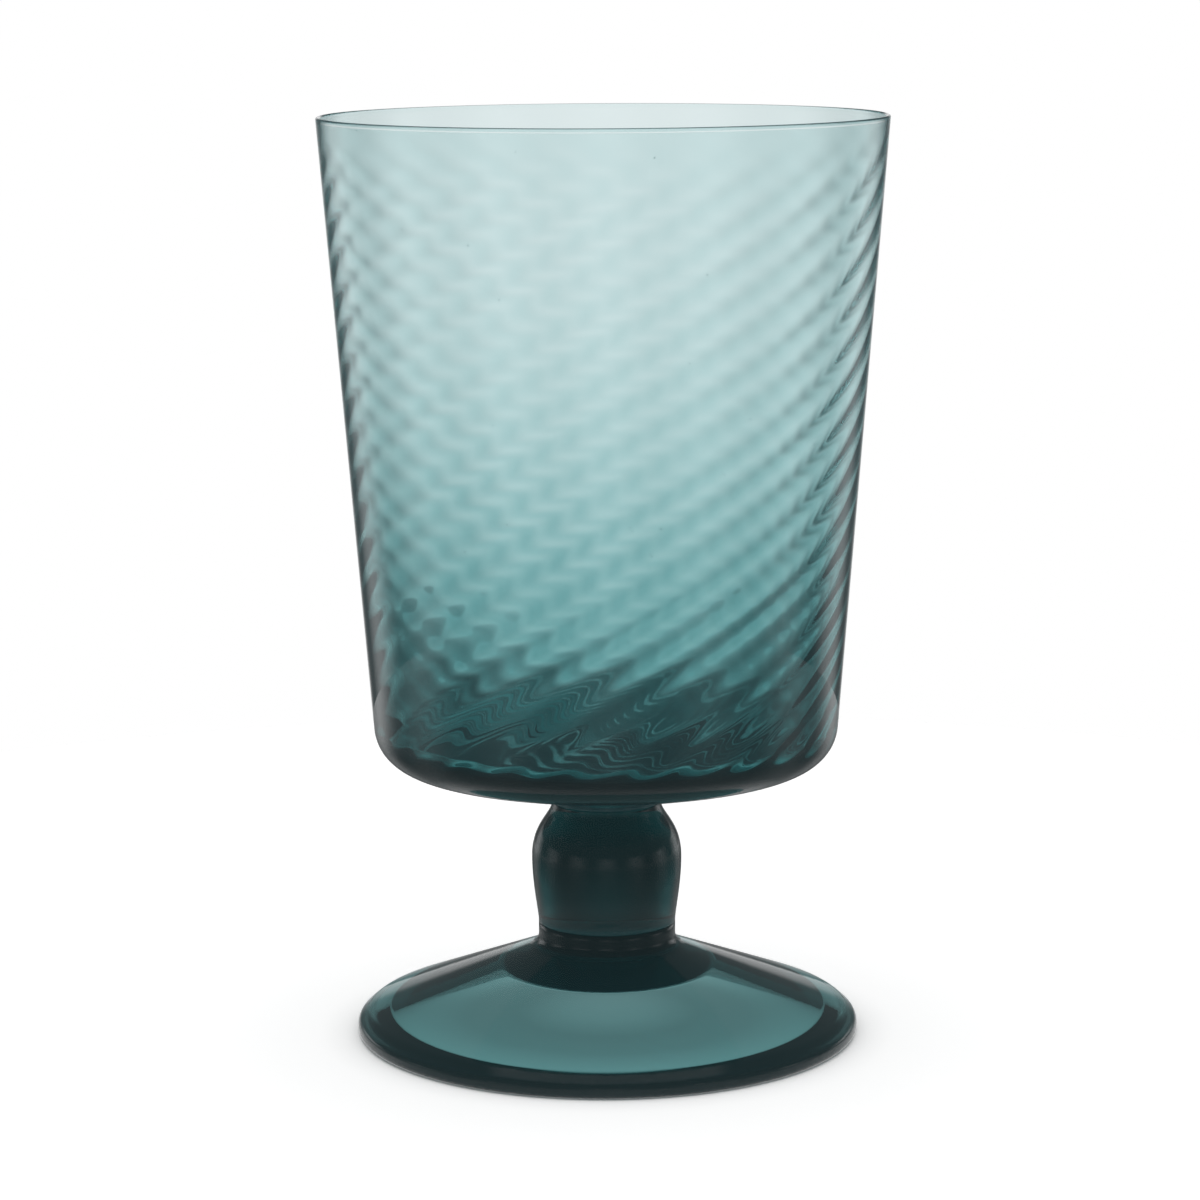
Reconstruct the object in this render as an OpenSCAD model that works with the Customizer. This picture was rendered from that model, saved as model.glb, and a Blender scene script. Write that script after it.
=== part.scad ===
// Water goblet of tinted glass: a tapered bowl with twisted optic ribs inside,
// a short solid stem and a sloping foot that is hollowed underneath.
// The goblet stands on Z = 0 with its axis on Z. Sizes are in millimetres.

/* [Bowl] */
// Outside diameter at the rim
rim_d = 85; // [76:0.5:94]
// Outside diameter where the lines of wall and underside cross
bowl_base_d = 69.6; // [60:0.2:74]
// Height of the bowl from its joint with the stem to the rim
bowl_h = 103.7; // [80:0.1:120]
// Rise of the underside from the joint to the bottom corner
under_rise = 6.9; // [5:0.1:9]
// Straight neck of the bowl above the joint
neck_rise = 1.3; // [0.6:0.1:2]
// Outside radius of the bottom corner
corner_r = 6.5; // [4:0.1:8]
// Radius of the hollow where the neck spreads into the underside
neck_fillet_r = 1.6; // [0.4:0.1:2.4]
// Thickness of the wall at the rim
lip_t = 0.8; // [0.7:0.05:1.6]
// Thickness of the wall where it reaches the floor
base_t = 3.4; // [1.8:0.1:4.4]
// How late the wall thickens on its way down: 1 is even, more is later
thickening = 3; // [1:0.1:4]
// Thickness of glass from the joint up to the middle of the floor
floor_t = 9; // [6:0.1:12]
// Rise of the floor from its middle to the wall
floor_dish = 1.4; // [0:0.1:2]
// Radius inside the bowl where the wall turns into the floor
floor_r = 2.5; // [1.5:0.1:8]

/* [Optic ribs] */
// Number of ribs round the bowl
rib_count = 26; // [16:1:30]
// Turn of each rib over the height of the bowl, in degrees
rib_twist = 262; // [0:2:300]
// Height of a rib above the mean wall where the ribs have grown in below the rim
rib_top_h = 0.06; // [0:0.01:0.12]
// Height of a rib above the mean wall where the wall reaches the floor
rib_low_h = 0.3; // [0:0.01:0.5]
// Length over which the ribs grow in below the rim
rib_fade = 13; // [3:0.5:20]

/* [Stem] */
// Height of the stem between its two joints
stem_h = 18.8; // [14:0.1:40]
// Diameter at the joint with the bowl
neck_d = 16.6; // [12:0.1:20]
// Widest diameter of the stem
belly_d = 22.84; // [20:0.02:28]
// Diameter at the joint with the foot
waist_d = 20.9; // [16:0.1:22]
// Height of the widest place above the foot's joint, as a share of the stem
belly_share = 0.54; // [0.4:0.01:0.65]

/* [Foot] */
// Diameter of the foot
foot_d = 76.6; // [66:0.2:90]
// Height of the foot up to its joint with the stem
foot_h = 17; // [14:0.1:22]
// Length of the waist between the joint and the slope of the foot
waist_h = 3.4; // [2:0.1:5]
// Radius of the hollow curve between waist and slope
waist_fillet_r = 4.5; // [1:0.1:8]
// Thickness of the foot at its edge
edge_t = 2.9; // [2.2:0.1:4]
// Rounding of the top of the edge
edge_top_r = 2.1; // [0.6:0.1:3]
// Rounding of the bottom of the edge
edge_low_r = 1.4; // [0.4:0.1:2]
// Width of the ring that the goblet stands on
rest_w = 7.3; // [5:0.1:9]
// Rounding of the ring's inner edge
rest_edge_r = 0.4; // [0.2:0.1:1]
// Width of the steep step from the ring up into the hollow
step_w = 0.4; // [0.2:0.1:1.5]
// Radius where the step turns into the slope of the hollow
step_fillet_r = 1.5; // [0.5:0.1:4]
// Thickness of the glass between the slope of the foot and its hollow, beside the step
slope_low_t = 4.7; // [3.8:0.1:5.2]
// Thickness of the glass there, beside the roof of the hollow
slope_high_t = 3.3; // [2.4:0.1:5]
// Diameter at which the slope of the hollow turns into its roof
roof_d = 30.4; // [24:0.2:40]
// Radius of that turn
roof_fillet_r = 4; // [1:0.5:12]
// Rise of the roof from there to the middle
roof_rise = 0.8; // [0:0.1:2]

/* [Hidden] */

// Colours of the glass where it is thin and where it is thick
pale_glass = "#8FBDBB";
teal_glass = "#4E7A7C";
deep_glass = "#22383B";

// Facets of the round surfaces, steps of one rounded corner, steps of one long curve
$fn = 96;
arc_steps = 10;
curve_steps = 16;

// Heights of the two joints, of the rim and of the floor
stem_z = foot_h;
bowl_z = foot_h + stem_h;
rim_z = bowl_z + bowl_h;
corner_z = bowl_z + under_rise;
floor_z = bowl_z + floor_t;
floor_edge_z = floor_z + floor_dish;

// Radii from the diameters
rim_r = rim_d / 2;
base_r = bowl_base_d / 2;
neck_r = neck_d / 2;
belly_r = belly_d / 2;
waist_r = waist_d / 2;
foot_r = foot_d / 2;
roof_r = roof_d / 2;

// Rounding of the lip, as a share of its thickness
lip_round_share = 0.45;
lip_r = lip_t * lip_round_share;

// How far a cut runs past the rim
overrun = lip_t;

// A rounding takes at most this share of the shorter edge beside it
rounding_share = 0.5;

// Handles of the stem's curves, as shares of the stretch that each curve spans
swell_handle_shares = [0.15, 0.45];
shoulder_handle_shares = [0.6, 0.25];

// Rings of the ribbed surface: along the wall and along the floor, and points in one rib
wall_rings = 34;
floor_rings = 4;
rib_points = 4;

// Share of the inner radius within which the ribs run out on the floor
floor_fade_share = 0.55;

// Point of an outline without its rounding
function flat(p) = [p[0], p[1]];

// A vector turned by an angle
function turned(v, a) = [v[0] * cos(a) - v[1] * sin(a), v[0] * sin(a) + v[1] * cos(a)];

// Points of the arc that rounds corner b between a and c, limited by the edges beside it
function rounded(a, b, c, r) =
    let (
        u = (a - b) / norm(a - b),
        v = (c - b) / norm(c - b),
        half = acos(u * v) / 2,
        reach = min(r / tan(half), rounding_share * min(norm(a - b), norm(c - b))),
        centre = b + (u + v) / norm(u + v) * reach / cos(half),
        start = b + u * reach - centre,
        end = b + v * reach - centre,
        turn = sign(cross(start, end)) * (180 - 2 * half)
    )
    [for (i = [0 : arc_steps]) centre + turned(start, turn * i / arc_steps)];

// An outline from points [radius, height, rounding]; a point with no rounding stays sharp
function outline(points) =
    [for (i = [0 : len(points) - 1])
        each len(points[i]) < 3
            ? [flat(points[i])]
            : rounded(flat(points[i - 1]), flat(points[i]), flat(points[i + 1]), points[i][2])];

// A curve from a to d with handles b and c
function curve(a, b, c, d) =
    [for (i = [0 : curve_steps])
        let (t = i / curve_steps, s = 1 - t)
        a * s * s * s + b * 3 * s * s * t + c * 3 * s * t * t + d * t * t * t];

// A value that grows smoothly from 0 to 1
function eased(x) = let (t = max(0, min(1, x))) t * t * (3 - 2 * t);

// Outside radius of the wall at a height
function outer_r(z) = base_r + (rim_r - base_r) * (z - corner_z) / (rim_z - corner_z);

// Way down the wall at a height: 0 at the rim, 1 at the floor
function depth_share(z) = max(0, (rim_z - z) / (rim_z - floor_edge_z));

// Thickness of the wall at a height
function wall_t(z) = lip_t + (base_t - lip_t) * pow(depth_share(z), thickening);

// Height of a full rib at a height
function rib_h(z) = rib_top_h + (rib_low_h - rib_top_h) * min(1, depth_share(z));

// Mean inside surface of the wall at a height
function inner_point(z) = [outer_r(z) - wall_t(z), z];

// Distance along a path to each of its points
function distances(path) =
    [for (i = 0, s = 0; i < len(path); s = s + (i + 1 < len(path) ? norm(path[i + 1] - path[i]) : 0), i = i + 1) s];

// Direction out of the glass at point i of a path that runs down the wall and in along the floor
function out_of_glass(path, i) =
    let (d = path[min(i + 1, len(path) - 1)] - path[max(i - 1, 0)])
    [d[1], -d[0]] / norm(d);

// Outside of the bowl with a solid inside
module bowl_outside() {
    rotate_extrude()
        polygon(outline([
            [0, bowl_z],
            [neck_r, bowl_z],
            [neck_r, bowl_z + neck_rise, neck_fillet_r],
            [base_r, corner_z, corner_r],
            [rim_r, rim_z, lip_r],
            [0, rim_z]
        ]));
}

// Space inside the bowl, whose surface carries the twisted ribs
module bowl_inside() {
    wall_low_z = floor_edge_z + 2 * floor_r;
    lip_centre = [rim_r - lip_t + lip_r, rim_z - lip_r];
    lip_points = [for (i = [0 : 3]) lip_centre + turned([0, lip_r], 30 * i)];
    wall_points = [for (i = [1 : wall_rings])
        inner_point(rim_z - lip_r + (wall_low_z - rim_z + lip_r) * i / wall_rings)];
    corner_points = rounded(inner_point(wall_low_z), inner_point(floor_edge_z), [0, floor_z], floor_r);
    floor_start = corner_points[arc_steps];
    floor_points = [for (i = [1 : floor_rings])
        floor_start + ([0, floor_z] - floor_start) * i / (floor_rings + 1)];
    path = concat([[lip_centre[0], rim_z + overrun]], lip_points, wall_points,
        [for (i = [0 : 2 : arc_steps]) corner_points[i]], floor_points);
    along = distances(path);
    turn_rate = rib_twist / bowl_h;
    sides = rib_count * rib_points;
    rings = len(path);

    // Height of the ribs at point i of the path
    function relief(i) =
        rib_h(path[i][1])
        * eased((rim_z - path[i][1]) / rib_fade)
        * eased(path[i][0] / (base_r * floor_fade_share));

    ring_points = [for (i = [0 : rings - 1], j = [0 : sides - 1])
        let (
            p = path[i] + out_of_glass(path, i) * relief(i) * cos(360 * j / rib_points),
            a = 360 * j / sides - turn_rate * along[i]
        )
        [p[0] * cos(a), p[0] * sin(a), p[1]]];
    middle = rings * sides;

    polyhedron(
        points = concat(ring_points, [[0, 0, floor_z]]),
        faces = concat(
            [[for (j = [sides - 1 : -1 : 0]) j]],
            [for (i = [0 : rings - 2], j = [0 : sides - 1])
                let (a = i * sides + j, b = i * sides + (j + 1) % sides)
                each [[a, b, b + sides], [a, b + sides, a + sides]]],
            [for (j = [0 : sides - 1])
                [middle - sides + j, middle - sides + (j + 1) % sides, middle]]
        ),
        convexity = 4
    );
}

// Bowl: the blown gather, optic ribs inside and smooth outside
module bowl() {
    color(pale_glass, 0.5)
        difference() {
            bowl_outside();
            bowl_inside();
        }
}

// Stem: a solid gather that swells below the bowl and narrows to a waist
module stem() {
    belly_z = stem_z + stem_h * belly_share;
    swell_h = belly_z - stem_z;
    shoulder_h = bowl_z - belly_z;
    color(deep_glass)
        rotate_extrude()
            polygon(concat(
                [[0, stem_z]],
                curve([waist_r, stem_z],
                    [waist_r, stem_z + swell_h * swell_handle_shares[0]],
                    [belly_r, belly_z - swell_h * swell_handle_shares[1]],
                    [belly_r, belly_z]),
                curve([belly_r, belly_z],
                    [belly_r, belly_z + shoulder_h * shoulder_handle_shares[0]],
                    [neck_r, bowl_z - shoulder_h * shoulder_handle_shares[1]],
                    [neck_r, bowl_z]),
                [[0, bowl_z]]
            ));
}

// Foot: a spun gather that slopes from the waist to a rounded edge. The hollow under it
// follows the slope, with the glass between them growing thicker towards the ring.
module foot() {
    rest_in_r = foot_r - edge_low_r - rest_w;
    step_r = rest_in_r - step_w;
    fall = (foot_h - waist_h - edge_t) / (foot_r - waist_r);

    // Height of the hollow's slope at a radius, where the glass above it has this thickness
    function under_z(r, thickness) = edge_t + (foot_r - r) * fall - thickness * norm([1, fall]);

    roof_z = under_z(roof_r, slope_high_t);
    color(teal_glass, 0.8)
        rotate_extrude()
            polygon(outline([
                [0, foot_h],
                [waist_r, foot_h],
                [waist_r, foot_h - waist_h, waist_fillet_r],
                [foot_r, edge_t, edge_top_r],
                [foot_r, 0, edge_low_r],
                [rest_in_r, 0, rest_edge_r],
                [step_r, under_z(step_r, slope_low_t), step_fillet_r],
                [roof_r, roof_z, roof_fillet_r],
                [0, roof_z + roof_rise]
            ]));
}

bowl();
stem();
foot();
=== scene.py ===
import math

import bpy
from mathutils import Matrix, Vector, noise


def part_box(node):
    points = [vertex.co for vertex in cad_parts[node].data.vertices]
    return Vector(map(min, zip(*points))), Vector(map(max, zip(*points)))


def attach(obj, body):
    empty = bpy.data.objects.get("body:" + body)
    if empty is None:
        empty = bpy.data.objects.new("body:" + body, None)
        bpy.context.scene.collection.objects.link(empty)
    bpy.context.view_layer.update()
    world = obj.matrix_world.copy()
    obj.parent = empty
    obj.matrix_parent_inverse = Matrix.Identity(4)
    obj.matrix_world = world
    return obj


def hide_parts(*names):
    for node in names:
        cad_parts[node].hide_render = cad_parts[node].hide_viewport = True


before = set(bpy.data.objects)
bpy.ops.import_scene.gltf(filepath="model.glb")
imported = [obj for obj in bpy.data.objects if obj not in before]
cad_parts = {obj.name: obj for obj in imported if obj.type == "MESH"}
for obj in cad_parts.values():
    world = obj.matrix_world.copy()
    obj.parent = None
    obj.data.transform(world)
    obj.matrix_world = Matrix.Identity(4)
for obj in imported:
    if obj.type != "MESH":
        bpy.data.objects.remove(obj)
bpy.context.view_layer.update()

mm = 0.001
fusedGap = 0.01 * mm  # between two fused pieces, too thin to see
onAxis = 1e-7  # a point nearer to the axis counts as on it
levelWithin = 1e-7  # a face whose corners differ less in height counts as level
sameHeight = 1e-6


# Colour and node helpers

def linear(hexColour):  # sRGB hex to linear colour
    shares = [int(hexColour[i:i + 2], 16) / 255 for i in (1, 3, 5)]
    return tuple(s / 12.92 if s <= 0.04045 else ((s + 0.055) / 1.055) ** 2.4 for s in shares)


def addNode(tree, kind, settings=None, links=None):
    node = tree.nodes.new(kind)
    for name, value in (settings or {}).items():
        if isinstance(name, int) or name in node.inputs:
            node.inputs[name].default_value = value
        else:
            setattr(node, name, value)
    for name, source in (links or {}).items():
        tree.links.new(source, node.inputs[name])
    return node


def emptyTree(owner):
    owner.use_nodes = True
    owner.node_tree.nodes.clear()
    return owner.node_tree


# Outline helpers: an outline is a list of [radius, height]

def rounded(a, b, c, radius, steps):
    a, b, c = Vector(a), Vector(b), Vector(c)
    u, v = (a - b).normalized(), (c - b).normalized()
    half = u.angle(v) / 2
    reach = min(radius / math.tan(half), 0.5 * (a - b).length, 0.5 * (c - b).length)
    centre = b + (u + v).normalized() * reach / math.cos(half)
    start, end = b + u * reach - centre, b + v * reach - centre
    turn = math.copysign(math.pi - 2 * half, start.cross(end))
    return [centre + Matrix.Rotation(turn * i / steps, 2) @ start for i in range(steps + 1)]


def outline(corners, steps):
    points = []
    for i, corner in enumerate(corners):
        if len(corner) < 3:
            points.append(Vector(corner))
        else:
            points += rounded(corners[i - 1][:2], corner[:2], corners[i + 1][:2], corner[2], steps)
    return points


def curve(a, b, c, d, steps):
    a, b, c, d = Vector(a), Vector(b), Vector(c), Vector(d)
    return [a * (1 - t) ** 3 + b * 3 * (1 - t) ** 2 * t + c * 3 * (1 - t) * t * t + d * t ** 3
            for t in (i / steps for i in range(steps + 1))]


def spaced(points, step):  # adds points to stretches longer than step
    filled = [points[0]]
    for a, b in zip(points, points[1:]):
        count = max(1, math.ceil((b - a).length / step))
        filled += [a.lerp(b, i / count) for i in range(1, count + 1)]
    return filled


def eased(x):
    t = max(0.0, min(1.0, x))
    return t * t * (3 - 2 * t)


def bump(x):  # 1 at 0, falling off smoothly on both sides
    return math.exp(-x * x)


def ringOf(point, sides):
    if point[0] < onAxis:
        return [(0, 0, point[1])]
    angles = [2 * math.pi * j / sides for j in range(sides)]
    return [(point[0] * math.cos(a), point[0] * math.sin(a), point[1]) for a in angles]


def turnedSolid(name, rings, sides, jointHeights):
    # A closed solid from rings about the axis, from below to above. A ring of one place is on the axis.
    places, starts, faces = [], [], []
    for ring in rings:
        starts.append(len(places))
        places += ring
    for i in range(len(rings) - 1):
        a, b = starts[i], starts[i + 1]
        for j in range(sides):
            k = (j + 1) % sides
            if len(rings[i]) == 1:
                faces.append((a, b + k, b + j))
            elif len(rings[i + 1]) == 1:
                faces.append((a + j, a + k, b))
            else:
                faces.append((a + j, a + k, b + k, b + j))
    mesh = bpy.data.meshes.new(name)
    mesh.from_pydata(places, [], faces)

    # Faces fused to the next piece are flat and marked, so that the glass lets light through them unbent
    flags = []
    for face in mesh.polygons:
        heights = [mesh.vertices[v].co.z for v in face.vertices]
        level = max(heights) - min(heights) < levelWithin
        flags.append(float(level and any(abs(heights[0] - h) < sameHeight for h in jointHeights)))
        face.use_smooth = not flags[-1]
    mesh.attributes.new("joint", "FLOAT", "FACE").data.foreach_set("value", flags)
    beside = {}
    for face, flag in zip(mesh.polygons, flags):
        for key in face.edge_keys:
            beside.setdefault(key, set()).add(flag)
    sharp = mesh.attributes.new("sharp_edge", "BOOLEAN", "EDGE")
    sharp.data.foreach_set("value", [len(beside[edge.key]) > 1 for edge in mesh.edges])

    piece = bpy.data.objects.new(name, mesh)
    bpy.context.scene.collection.objects.link(piece)
    return piece


# Bowl

bowlSettings = {
    "rimRadius": 42.5 * mm,
    "baseRadius": 34.8 * mm,
    "neckRadius": 8.3 * mm,
    "cornerHeight": 42.7 * mm,
    "neckRise": 1.3 * mm,
    "neckFillet": 1.6 * mm,
    "cornerRadius": 6.5 * mm,
    "cornerSteps": 16,
    "outsideStep": 2.5 * mm,
    "wallTop": 0.6 * mm,
    "wallLow": 3.35 * mm,
    "thickening": 3.0,  # 1 thickens evenly from rim to floor, more thickens later
    "wallRings": 150,
    "wallRingsCloser": 1.15,  # 1 spaces them evenly, more sets them closer towards the lip
    "wallStep": 2 * mm,
    "lipBead": 0.1 * mm,
    "lipBeadLength": 0.2 * mm,
    "lipRounding": 0.45,  # share of the lip's thickness by which its edges are rounded
    "lipSteps": 6,
    "uneven": (0.065, 0.07),  # share by which the wall is thicker on the right, and on both sides
    "unevenReach": 4 * mm,  # height above the floor over which this sets in
    "floorThickness": 9.0 * mm,
    "floorDish": 1.4 * mm,
    "floorRounding": 2.5 * mm,
    "floorRoundingSteps": 20,
    "floorRings": 24,
    "ribCount": 26,
    "sidesPerRib": 10,
    "ribTurn": 262.0,  # degrees over the bowl's height
    "ribWander": 5.5,  # degrees that the twist runs ahead on one side, as hand twisting leaves it
    "ribFade": 13 * mm,  # length over which the ribs grow in below the rim
    "ribFloorFade": 0.5,  # share of the base's radius over which they fade to the middle of the floor
    "ribHeight": (0.04 * mm, 0.12 * mm),  # above and below the mean wall, up the wall and at the floor
    "ribHeightReach": 7 * mm,  # height above the floor over which it falls to the first
    "ribUneven": 0.6,  # share by which the ribs differ from each other and along their way
    "ribUnevenLength": 30 * mm,
    "ribUnevenAround": 6,  # near 2 pi, which gives each rib a strength of its own
    "lowFrom": 0.7,  # share of the height below the rim at which the next two reach their low values
    # Shares by which the ribs are stronger on the near side, and on the near right and far left, at the
    # rim and low down
    "ribSides": ((0.15, 0.5), (0.4, 0.3)),
    # How much deeper a rib's colour runs, as a share of the wall, at the rim and low down
    "ribDepth": (0.06, 0.2),
}


def makeBowl(s):
    print("making the bowl")
    low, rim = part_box("bowl")[0].z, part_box("bowl")[1].z
    floor = low + s["floorThickness"]
    floorEdge = floor + s["floorDish"]
    lip = s["wallTop"] + s["lipBead"]
    lipRadius = lip * s["lipRounding"]
    wallStart = rim - lipRadius
    sides = s["ribCount"] * s["sidesPerRib"]
    taper = (s["rimRadius"] - s["baseRadius"]) / (rim - s["cornerHeight"])

    def wall(z):
        share = min(1.0, max(0.0, (rim - z) / (rim - floorEdge)))
        return s["wallTop"] + (s["wallLow"] - s["wallTop"]) * share ** s["thickening"]

    def inner(z):
        bead = s["lipBead"] * bump((wallStart - z) / s["lipBeadLength"])
        return Vector((s["baseRadius"] + taper * (z - s["cornerHeight"]) - wall(z) - bead, z))

    outside = spaced(outline([
        [0, low],
        [s["neckRadius"], low],
        [s["neckRadius"], low + s["neckRise"], s["neckFillet"]],
        [s["baseRadius"], s["cornerHeight"], s["cornerRadius"]],
        [s["rimRadius"], rim, lipRadius],
        [0, rim],
    ], s["cornerSteps"])[:-1], s["outsideStep"])

    # Inside, from the lip down the wall and in along the floor
    wallEnd = floorEdge + 2 * s["floorRounding"]
    lipCentre = Vector((s["rimRadius"] - lip + lipRadius, wallStart))
    path = [lipCentre + lipRadius * Vector((-math.sin(a), math.cos(a)))
            for a in (math.radians(90 * i / s["lipSteps"]) for i in range(1, s["lipSteps"]))]
    path += spaced([inner(wallStart - (wallStart - wallEnd) * (i / s["wallRings"]) ** s["wallRingsCloser"])
                    for i in range(s["wallRings"] + 1)], s["wallStep"])
    middle = Vector((0, floor))
    corner = rounded(inner(wallEnd), inner(floorEdge), middle, s["floorRounding"], s["floorRoundingSteps"])
    path += corner[1:]
    path += [corner[-1].lerp(middle, i / s["floorRings"]) for i in range(1, s["floorRings"])] + [middle]

    # The ribs stand on the inside. They turn as they rise, and fade out towards the lip and the middle.
    rings = [ringOf(p, sides) for p in outside]
    turnRate = math.radians(s["ribTurn"]) / (rim - low)
    wander = math.radians(s["ribWander"])
    along = 0.0
    depths = [0.0] * sum(len(ring) for ring in rings)
    for i, p in enumerate(path):
        along += (p - path[i - 1]).length if i else 0.0
        if p.x < onAxis:
            rings.append([(0, 0, p.y)])
            depths.append(0.0)
            continue
        d = (path[min(i + 1, len(path) - 1)] - path[max(i - 1, 0)]).normalized()
        out = Vector((d.y, -d.x))
        belowRim = eased((rim - p.y) / s["ribFade"])
        fade = belowRim * eased(p.x / (s["ribFloorFade"] * s["baseRadius"]))
        share = min(1.0, (rim - p.y) / (s["lowFrom"] * (rim - low)))
        reach = eased((p.y - floorEdge) / s["ribHeightReach"])
        near, across = (a * (1 - share) + b * share for a, b in zip(*s["ribSides"]))
        relief = (s["ribHeight"][0] * reach + s["ribHeight"][1] * (1 - reach)) * fade
        depth = (s["ribDepth"][0] * (1 - share) + s["ribDepth"][1] * share) * wall(p.y) * fade
        swing = wall(p.y) * belowRim * eased((p.y - floorEdge) / s["unevenReach"])
        ahead = wander * math.sin(math.pi * min(1.0, along / (rim - low)))
        ring = []
        for j in range(sides):
            turn = 2 * math.pi * j / sides
            spot = Vector((math.cos(turn), math.sin(turn), 0)) * s["ribCount"] / s["ribUnevenAround"]
            spot.z = along / s["ribUnevenLength"]
            angle = turn - turnRate * along
            angle += ahead * math.cos(angle)
            rib = math.cos(turn * s["ribCount"]) * (1 + s["ribUneven"] * noise.noise(spot))
            rib *= 1 - near * math.sin(angle) - across * math.sin(2 * angle)
            depths.append(depth * (1 + rib))
            q = p + out * relief * rib
            radius = q.x - swing * (s["uneven"][0] * math.cos(angle) + s["uneven"][1] * math.cos(2 * angle))
            ring.append((radius * math.cos(angle), radius * math.sin(angle), q.y))
        rings.append(ring)
    piece = turnedSolid("blown_bowl", rings, sides, [low])
    piece.data.attributes.new("rib_depth", "FLOAT", "POINT").data.foreach_set("value", depths)
    return piece


# Stem

stemSettings = {
    "neckRadius": 8.3 * mm,
    "jointGroove": 0.15 * mm,  # how far the two sides of a fused joint are drawn in
    "bellyRadius": 11.42 * mm,
    "waistRadius": 10.45 * mm,
    "bellyShare": 0.54,  # share of the height at which it is widest
    "swellHandles": (0.15, 0.45),
    "shoulderHandles": (0.6, 0.25),
    "sides": 128,
    "curveSteps": 40,
}


def makeStem(s):
    print("making the stem")
    low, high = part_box("stem")[0].z + fusedGap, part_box("stem")[1].z - fusedGap
    belly = low + (high - low) * s["bellyShare"]
    rise, fall = belly - low, high - belly
    waist, wide, neck = s["waistRadius"], s["bellyRadius"], s["neckRadius"]
    lower = curve([waist, low], [waist, low + rise * s["swellHandles"][0]],
                  [wide, belly - rise * s["swellHandles"][1]], [wide, belly], s["curveSteps"])
    upper = curve([wide, belly], [wide, belly + fall * s["shoulderHandles"][0]],
                  [neck, high - fall * s["shoulderHandles"][1]], [neck, high], s["curveSteps"])
    lower[0].x -= s["jointGroove"]
    upper[-1].x -= s["jointGroove"]
    path = [Vector((0, low))] + lower + upper[1:] + [Vector((0, high))]
    return turnedSolid("solid_stem", [ringOf(p, s["sides"]) for p in path], s["sides"], [low, high])


# Foot

footSettings = {
    "radius": 38.3 * mm,
    "waistRadius": 10.45 * mm,
    "jointGroove": 0.15 * mm,
    "waistRise": 3.4 * mm,
    "waistFillet": 4.5 * mm,
    "edgeThickness": 2.9 * mm,
    "shoulderRadius": 36.6 * mm,  # where the slope turns down to the edge
    "shoulderRounding": 3.0 * mm,
    "edgeHeight": 2.15 * mm,
    "edgeTop": 1.6 * mm,
    "edgeLow": 1.4 * mm,
    "ringWidth": 1.3 * mm,  # flat ring that it rests on
    "ringRounding": 0.4 * mm,
    "heelRadius": 32.0 * mm,  # the heel inside the ring rises gently up to here
    "heelRise": 0.63 * mm,
    "heelRounding": 2.5 * mm,
    "glassHigh": 3.3 * mm,  # thickness between the slope and the hollow, beside the roof
    "roofRadius": 15.2 * mm,
    "roofRounding": 4 * mm,
    "roofRise": 0.8 * mm,
    "sides": 192,
    "cornerSteps": 20,
    "step": 1.0 * mm,
}


def makeFoot(s):
    print("making the foot")
    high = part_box("foot")[1].z
    fall = (high - s["waistRise"] - s["edgeThickness"]) / (s["radius"] - s["waistRadius"])
    ring = s["radius"] - s["edgeLow"] - s["ringWidth"]
    roof = s["roofRadius"]

    def under(radius, thickness):  # height of the hollow where the glass above it has this thickness
        return s["edgeThickness"] + (s["radius"] - radius) * fall - thickness * math.hypot(1, fall)

    path = spaced(outline([
        [0, high],
        [s["waistRadius"] - s["jointGroove"], high],
        [s["waistRadius"], high - s["jointGroove"]],
        [s["waistRadius"], high - s["waistRise"], s["waistFillet"]],
        [s["shoulderRadius"], under(s["shoulderRadius"], 0), s["shoulderRounding"]],
        [s["radius"], s["edgeHeight"], s["edgeTop"]],
        [s["radius"], 0, s["edgeLow"]],
        [ring, 0, s["ringRounding"]],
        [s["heelRadius"], s["heelRise"], s["heelRounding"]],
        [roof, under(roof, s["glassHigh"]), s["roofRounding"]],
        [0, under(roof, s["glassHigh"]) + s["roofRise"]],
    ], s["cornerSteps"]), s["step"])
    path.reverse()
    return turnedSolid("spun_foot", [ringOf(p, s["sides"]) for p in path], s["sides"], [high])


# Glass

# Soda-lime glass, coloured in the melt with iron and copper. The eye sees a clear, glossy body whose teal
# deepens with the way that light goes through it, from pale at the lip to nearly black in the stem.
glassSettings = {
    "ior": 1.5,
    "absorbed": (360.0, 185.0, 182.0),  # red, green and blue light, per metre of glass
    "tint": "#FFFFFF",
    "specularTint": 0.35,  # how much of the mirrored light is kept
    "clearness": 0.98,  # the rest is the faint veil of dust and wiping marks on used glass
    "paintedGlow": "#253E42",  # colour of a faint glow painted into the glass, which lifts its darkest parts
    "paintedGlowLight": 0.22,
    "roughness": 0.0,  # fire-polished
}


def tealGlass(name, s):
    material = bpy.data.materials.new(name)
    tree = emptyTree(material)
    joint = addNode(tree, "ShaderNodeAttribute", {"attribute_name": "joint"})
    ior = addNode(tree, "ShaderNodeMapRange", {"To Min": s["ior"], "To Max": 1.0},
                  {"Value": joint.outputs["Fac"]})
    glass = addNode(tree, "ShaderNodeBsdfPrincipled", {
        "Base Color": (*linear(s["tint"]), 1),
        "Roughness": s["roughness"],
        "IOR": s["ior"],
        "Transmission Weight": s["clearness"],
        "Specular Tint": (s["specularTint"],) * 3 + (1,),
        # Painted glow: a faint teal emission that lifts the darkest glass
        "Emission Color": (*linear(s["paintedGlow"]), 1),
        "Emission Strength": s["paintedGlowLight"],
    }, {"IOR": ior.outputs["Result"]})
    density = max(s["absorbed"])
    tinted = addNode(tree, "ShaderNodeVolumeAbsorption", {
        "Color": (*(1 - a / density for a in s["absorbed"]), 1),
        "Density": density,
    })
    addNode(tree, "ShaderNodeOutputMaterial", links={
        "Surface": glass.outputs["BSDF"], "Volume": tinted.outputs["Volume"]})
    return material, tree, glass


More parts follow.
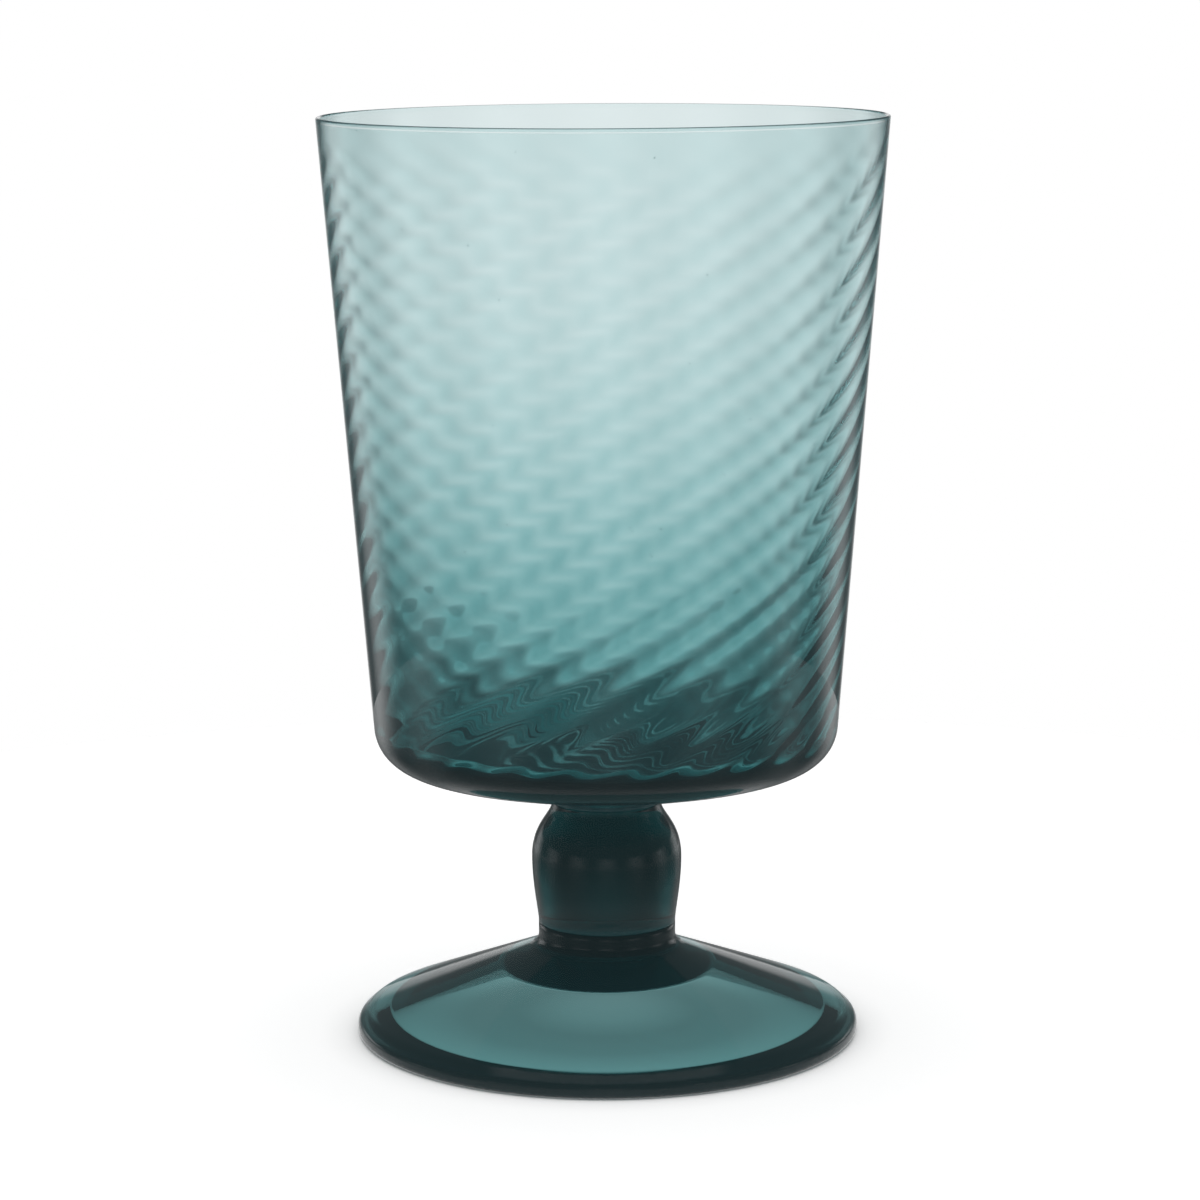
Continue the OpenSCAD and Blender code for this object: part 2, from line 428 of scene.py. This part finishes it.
def addRelief(tree, glass, height, depth):
    relief = addNode(tree, "ShaderNodeBump", {"Strength": 1.0, "Distance": depth}, {"Height": height})
    tree.links.new(relief.outputs["Normal"], glass.inputs["Normal"])


# Optic-blown glass: blown in a ribbed mould, then swung and fire-polished. It shows a deeper streak along
# each rib, long faint waves where the wall was stretched, and a few seeds, which are tiny bubbles.
bowlGlassSettings = {
    "ribTint": "#D1E6E7",
    "ribTintDepth": 0.62 * mm,  # depth of colour at which the tint is full
    "waveLength": 18 * mm,
    "waveDepth": 0.025 * mm,
    "seedTint": "#6F8B8E",
    "seedSpacing": 6 * mm,
    "seedRadius": 0.16 * mm,  # about twice the real size, so that they show
}


def makeBowlGlass(s):
    material, tree, glass = tealGlass("optic_blown_teal_glass", glassSettings)
    place = addNode(tree, "ShaderNodeTexCoord")
    ribs = addNode(tree, "ShaderNodeAttribute", {"attribute_name": "rib_depth"})
    deep = addNode(tree, "ShaderNodeMapRange", {"From Max": s["ribTintDepth"]},
                   {"Value": ribs.outputs["Fac"]})
    colour = addNode(tree, "ShaderNodeMix", {
        "data_type": "RGBA",
        6: (*linear(glassSettings["tint"]), 1),
        7: (*linear(s["ribTint"]), 1),
    }, {0: deep.outputs["Result"]})
    cells = addNode(tree, "ShaderNodeTexVoronoi", {"Scale": 1 / s["seedSpacing"]},
                    {"Vector": place.outputs["Object"]})
    size = s["seedRadius"] / s["seedSpacing"]
    seeds = addNode(tree, "ShaderNodeMapRange", {"From Min": size, "From Max": size / 2},
                    {"Value": cells.outputs["Distance"]})
    seeded = addNode(tree, "ShaderNodeMix", {"data_type": "RGBA", 7: (*linear(s["seedTint"]), 1)},
                     {0: seeds.outputs["Result"], 6: colour.outputs[2]})
    tree.links.new(seeded.outputs[2], glass.inputs["Base Color"])
    waves = addNode(tree, "ShaderNodeTexNoise", {"Scale": 1 / s["waveLength"], "Detail": 1.0},
                    {"Vector": place.outputs["Object"]})
    addRelief(tree, glass, waves.outputs["Fac"], s["waveDepth"])
    return material


# Drawn glass: a solid bit, pulled down hot between bowl and foot. It shows faint upright cords.
stemGlassSettings = {
    "cordSpacing": 2.5 * mm,
    "cordLength": 60 * mm,
    "cordDepth": 0.012 * mm,
}


def makeStemGlass(s):
    material, tree, glass = tealGlass("drawn_teal_glass", glassSettings)
    place = addNode(tree, "ShaderNodeTexCoord")
    drawn = addNode(tree, "ShaderNodeMapping", {
        "Scale": (1 / s["cordSpacing"], 1 / s["cordSpacing"], 1 / s["cordLength"]),
    }, {"Vector": place.outputs["Object"]})
    cords = addNode(tree, "ShaderNodeTexNoise", {"Scale": 1.0, "Detail": 2.0},
                    {"Vector": drawn.outputs["Vector"]})
    addRelief(tree, glass, cords.outputs["Fac"], s["cordDepth"])
    return material


# Spun glass: the foot was opened and flattened with a wooden tool as it turned. It shows faint rings about
# the axis, and the ring that it stands on is scuffed dull by tables.
footGlassSettings = {
    "toolSpacing": 4.5 * mm,
    "toolDepth": 0.02 * mm,
    "wornHeight": (0.05 * mm, 0.25 * mm),  # heights over which the scuffing fades out
    "wornRoughness": 0.35,
}


def makeFootGlass(s):
    material, tree, glass = tealGlass("spun_teal_glass", glassSettings)
    place = addNode(tree, "ShaderNodeTexCoord")
    level = addNode(tree, "ShaderNodeVectorMath", {"operation": "MULTIPLY", 1: (1, 1, 0)},
                    {0: place.outputs["Object"]})
    reach = addNode(tree, "ShaderNodeVectorMath", {"operation": "LENGTH"}, {0: level.outputs["Vector"]})
    rings = addNode(tree, "ShaderNodeTexNoise", {"noise_dimensions": "1D", "Scale": 1 / s["toolSpacing"],
                                                 "Detail": 2.0}, {"W": reach.outputs["Value"]})
    addRelief(tree, glass, rings.outputs["Fac"], s["toolDepth"])
    parts = addNode(tree, "ShaderNodeSeparateXYZ", links={"Vector": place.outputs["Object"]})
    worn = addNode(tree, "ShaderNodeMapRange", {
        "From Min": s["wornHeight"][0], "From Max": s["wornHeight"][1],
        "To Min": s["wornRoughness"], "To Max": glassSettings["roughness"],
    }, {"Value": parts.outputs["Z"]})
    tree.links.new(worn.outputs["Result"], glass.inputs["Roughness"])
    return material


# Studio

studioSettings = {
    "floorRadius": 0.24,
    "floorSides": 128,
    "floorDrop": 0.02 * mm,  # below the ring of the foot, so that no two faces share a plane
    "floorColour": "#F4F4F4",
    "paintGlow": 0.62,  # painted glow that fills the table's shadows, as a white studio's light does
    "paintedShadowReach": 6 * mm,  # painted contact shadow: the glow fades within this distance of the goblet
    "paintedShadowSamples": 16,
    # The table's glow as the glass shows it, by distance from the axis, with the goblet's shadow painted into
    # it
    "paintedShadowGlow": ((0, 0.47), (0.006, 0.45), (0.014, 0.36), (0.022, 0.42), (0.03, 0.62), (0.042, 0.7), (0.058, 0.3),
             (0.08, 0.28), (0.12, 0.34), (0.24, 0.93)),
    "backdrop": 1.0,  # as the camera sees it
    "surround": 0.93,  # and as the glass shows it, up to the darker middle height
    "middle": 0.12,
    "middleFrom": 7.0,  # degrees above the horizon
    "overhead": 2.3,  # the light from above on the table
    "overheadSeen": 0.8,  # and as the glass shows it
    "overheadFrom": 62.0,
    "heightSoft": 2.5,  # degrees to each side over which one height goes over into the next
    "strips": 8,
    "stripHalf": 12.0,  # half of a strip's width, in degrees
    "stripSoft": 10.0,
    "stripDark": 0.12,  # share of the light that is left in their middle
    "stripDarkTable": 0.35,  # and where they cross the table
    "stripsFrom": (0.05, 0.1),  # distances from the axis over which they set in on the table
}


def addStrips(tree, s, place, dark):
    # Softly dark strips all round give the glass its dark edges, as dark cards beside it do
    parts = addNode(tree, "ShaderNodeSeparateXYZ", links={"Vector": place})
    azimuth = addNode(tree, "ShaderNodeMath", {"operation": "ARCTAN2"},
                      {0: parts.outputs["X"], 1: parts.outputs["Y"]})
    step = 2 * math.pi / s["strips"]
    turns = addNode(tree, "ShaderNodeMath", {"operation": "DIVIDE", 1: step}, {0: azimuth.outputs[0]})
    part = addNode(tree, "ShaderNodeMath", {"operation": "WRAP", 1: 1.0, 2: 0.0}, {0: turns.outputs[0]})
    off = addNode(tree, "ShaderNodeMath", {"operation": "SUBTRACT", 1: 0.5}, {0: part.outputs[0]})
    distance = addNode(tree, "ShaderNodeMath", {"operation": "ABSOLUTE"}, {0: off.outputs[0]})
    stepDegrees = math.degrees(step)
    return addNode(tree, "ShaderNodeMapRange", {
        "interpolation_type": "SMOOTHSTEP",
        "From Min": (s["stripHalf"] - s["stripSoft"]) / stepDegrees,
        "From Max": (s["stripHalf"] + s["stripSoft"]) / stepDegrees,
        "To Min": dark,
    }, {"Value": distance.outputs[0]})


def makeFloor(s):
    print("laying the table")
    mesh = bpy.data.meshes.new("table_top")
    mesh.from_pydata(ringOf((s["floorRadius"], 0), s["floorSides"]), [], [tuple(range(s["floorSides"]))])
    floor = bpy.data.objects.new("table_top", mesh)
    bpy.context.scene.collection.objects.link(floor)
    material = bpy.data.materials.new("white_table")
    tree = emptyTree(material)
    paint = addNode(tree, "ShaderNodeBsdfPrincipled", {
        "Base Color": (*linear(s["floorColour"]), 1),
        "Roughness": 1.0,
        "Specular IOR Level": 0.0,
        "Emission Color": (1, 1, 1, 1),
    })
    # Ambient occlusion dims the glow near the goblet, a painted contact shadow
    near = addNode(tree, "ShaderNodeAmbientOcclusion", {
        "samples": s["paintedShadowSamples"], "Distance": s["paintedShadowReach"]})
    paintGlow = addNode(tree, "ShaderNodeMath", {"operation": "MULTIPLY", 1: s["paintGlow"]},
                        {0: near.outputs["AO"]})
    tree.links.new(paintGlow.outputs[0], paint.inputs["Emission Strength"])

    # What the glass shows of the table is a plain glow with the goblet's shadow painted into it, dimmer near
    # the goblet
    place = addNode(tree, "ShaderNodeTexCoord")
    reach = addNode(tree, "ShaderNodeVectorMath", {"operation": "LENGTH"}, {0: place.outputs["Object"]})
    share = addNode(tree, "ShaderNodeMath", {"operation": "DIVIDE", 1: s["floorRadius"]},
                    {0: reach.outputs["Value"]})
    level = addNode(tree, "ShaderNodeValToRGB", links={"Fac": share.outputs[0]})
    level.color_ramp.interpolation = "LINEAR"
    stops = level.color_ramp.elements
    for i, (radius, strength) in enumerate(s["paintedShadowGlow"]):
        stop = stops[i] if i < 2 else stops.new(radius / s["floorRadius"])
        stop.position = radius / s["floorRadius"]
        stop.color = (strength,) * 3 + (1,)
    strips = addStrips(tree, s, place.outputs["Object"], s["stripDarkTable"])
    striped = addNode(tree, "ShaderNodeMapRange", {
        "From Min": s["stripsFrom"][0], "From Max": s["stripsFrom"][1], "To Min": 1.0,
    }, {"Value": reach.outputs["Value"], "To Max": strips.outputs["Result"]})
    strength = addNode(tree, "ShaderNodeMath", {"operation": "MULTIPLY"},
                       {0: level.outputs["Color"], 1: striped.outputs["Result"]})
    paintedShadowGlow = addNode(tree, "ShaderNodeEmission", {"Color": (1, 1, 1, 1)}, {"Strength": strength.outputs[0]})
    path = addNode(tree, "ShaderNodeLightPath")
    mix = addNode(tree, "ShaderNodeMixShader", links={
        0: path.outputs["Is Camera Ray"], 1: paintedShadowGlow.outputs[0], 2: paint.outputs[0]})
    addNode(tree, "ShaderNodeOutputMaterial", links={"Surface": mix.outputs[0]})
    mesh.materials.append(material)
    floor.location.z = -s["floorDrop"]


def makeWorld(s):
    print("lighting the studio")
    world = bpy.data.worlds.new("studio")
    bpy.context.scene.world = world
    tree = emptyTree(world)
    place = addNode(tree, "ShaderNodeTexCoord")
    parts = addNode(tree, "ShaderNodeSeparateXYZ", links={"Vector": place.outputs["Generated"]})
    strips = addStrips(tree, s, place.outputs["Generated"], s["stripDark"])
    light = addNode(tree, "ShaderNodeMapRange", {"To Max": s["surround"]},
                    {"Value": strips.outputs["Result"]})
    path = addNode(tree, "ShaderNodeLightPath")
    above = addNode(tree, "ShaderNodeMapRange", {"To Min": s["overheadSeen"], "To Max": s["overhead"]},
                    {"Value": path.outputs["Is Diffuse Ray"]})
    for name, links in (("middle", {}), ("overhead", {"To Max": above.outputs["Result"]})):
        light = addNode(tree, "ShaderNodeMapRange", {
            "interpolation_type": "SMOOTHSTEP",
            "From Min": math.sin(math.radians(s[name + "From"] - s["heightSoft"])),
            "From Max": math.sin(math.radians(s[name + "From"] + s["heightSoft"])),
            "To Max": s[name],
        }, {"Value": parts.outputs["Z"], "To Min": light.outputs["Result"], **links})
    around = addNode(tree, "ShaderNodeBackground", {"Color": (1, 1, 1, 1)},
                     {"Strength": light.outputs["Result"]})
    seen = addNode(tree, "ShaderNodeBackground", {"Color": (1, 1, 1, 1), "Strength": s["backdrop"]})
    mix = addNode(tree, "ShaderNodeMixShader", links={
        0: path.outputs["Is Camera Ray"], 1: around.outputs[0], 2: seen.outputs[0]})
    addNode(tree, "ShaderNodeOutputWorld", links={"Surface": mix.outputs[0]})


# Solved from the ellipses of the rim and of the foot's edge in the photograph
cameraSettings = {
    "place": (0, -0.5647, 0.16414),
    "down": 9.79,  # degrees, as the next two
    "left": 0.083,
    "roll": 0.3,
    "focal": 113.74,  # mm
    "sensor": 36,
}


def makeCamera(s):
    print("setting up the camera")
    data = bpy.data.cameras.new("camera")
    data.lens = s["focal"]
    data.sensor_width = s["sensor"]
    camera = bpy.data.objects.new("camera", data)
    bpy.context.scene.collection.objects.link(camera)
    camera.location = s["place"]
    aim = Matrix.Identity(4)
    for degrees, axis in ((s["left"], "Z"), (90 - s["down"], "X"), (-s["roll"], "Z")):
        aim = aim @ Matrix.Rotation(math.radians(degrees), 4, axis)
    camera.rotation_euler = aim.to_euler()
    bpy.context.scene.camera = camera


makeCamera(cameraSettings)
makeFloor(studioSettings)
makeWorld(studioSettings)

bowl = makeBowl(bowlSettings)
stem = makeStem(stemSettings)
foot = makeFoot(footSettings)
print("making the glass")
bowl.data.materials.append(makeBowlGlass(bowlGlassSettings))
stem.data.materials.append(makeStemGlass(stemGlassSettings))
foot.data.materials.append(makeFootGlass(footGlassSettings))
for piece, node in ((bowl, "bowl"), (stem, "stem"), (foot, "foot")):
    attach(piece, "root")
    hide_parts(node)

scene = bpy.context.scene
scene.view_settings.view_transform = "Standard"
scene.cycles.use_denoising = True

# Light goes through many walls and ribs before it leaves the glass
scene.cycles.max_bounces = 32
scene.cycles.transmission_bounces = 32
scene.cycles.glossy_bounces = 16
scene.cycles.diffuse_bounces = 4
